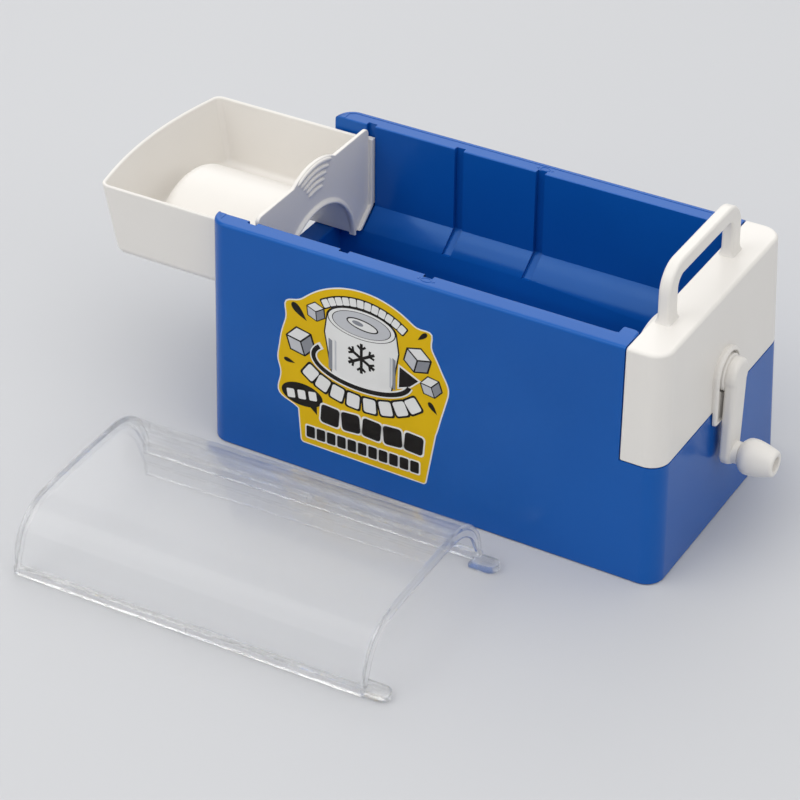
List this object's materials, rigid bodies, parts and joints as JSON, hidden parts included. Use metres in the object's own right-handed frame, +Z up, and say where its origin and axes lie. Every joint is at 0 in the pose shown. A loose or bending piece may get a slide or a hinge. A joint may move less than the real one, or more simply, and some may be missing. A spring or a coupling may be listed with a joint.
{
  "type": "hand-cranked drink can cooler",
  "caption": "Hand-cranked rapid drink can cooler: ice trough, lift-out crank drive with a geared can holder, divider with tray, and a clear arched lid.",
  "frame": {"origin": "on the table under the middle of the trough, on the underside of its central rib", "axes": "+X along the trough towards the crank, -Y towards the side with the sticker and the lid, +Z up"},
  "size_m": [0.3665, 0.2862, 0.1594],
  "materials": {
    "blue_pp": "satin-gloss moulded polypropylene",
    "white_abs": "satin-gloss moulded plastic, warm white",
    "clear_ps": "clear glossy polystyrene",
    "acetal": "natural acetal",
    "rubber": "matt soft rubber",
    "zinc_steel": "zinc plated",
    "label_print": "printed film, semi-matt"
  },
  "bodies": {
    "trough": {"trough_body": "blue_pp", "front_label": "label_print"},
    "drive_unit": {"gear_housing": "white_abs", "inner_cover": "white_abs", "cover_gasket": "rubber", "cover_screw_1": "zinc_steel", "cover_screw_2": "zinc_steel", "cover_screw_3": "zinc_steel", "cover_screw_4": "zinc_steel", "crank_bush": "acetal", "output_bush": "acetal", "shaft_seal": "rubber"},
    "crank": {"crank_arm": "white_abs", "ring_gear": "acetal", "crank_screw": "zinc_steel", "crank_washer": "zinc_steel", "knob_pin": "zinc_steel"},
    "knob": {"crank_knob": "white_abs"},
    "can_turner": {"can_holder": "white_abs", "can_grip": "rubber", "output_pinion": "acetal", "holder_screw": "zinc_steel", "holder_washer": "zinc_steel"},
    "divider": {"divider_tray": "white_abs"},
    "lid": {"clear_lid": "clear_ps"}
  },
  "joints": [
    {"name": "drive_unit_lift", "type": "slide", "parent": "trough", "child": "drive_unit", "axis": [0, 0, 1], "range_m": [0, 0.1]},
    {"name": "crank_spin", "type": "hinge", "parent": "drive_unit", "child": "crank", "pos_m": [0.1265, 0, 0.086], "axis": [1, 0, 0], "continuous": true},
    {"name": "knob_spin", "type": "hinge", "parent": "crank", "child": "knob", "pos_m": [0.1404, -0.00251, 0.04237], "axis": [1, 0, 0], "continuous": true},
    {"name": "can_spin", "type": "hinge", "parent": "drive_unit", "child": "can_turner", "pos_m": [0.098, 0, 0.073], "axis": [1, 0, 0], "continuous": true},
    {"name": "divider_lift", "type": "slide", "parent": "trough", "child": "divider", "axis": [0, 0, 1], "range_m": [0, 0.07]},
    {"name": "lid_lift", "type": "slide", "parent": "trough", "child": "lid", "axis": [0, 0, 1], "range_m": [0, 0.08]}
  ],
  "couplings": [
    {"joint": "can_spin", "follows": "crank_spin", "ratio": 2}
  ]
}
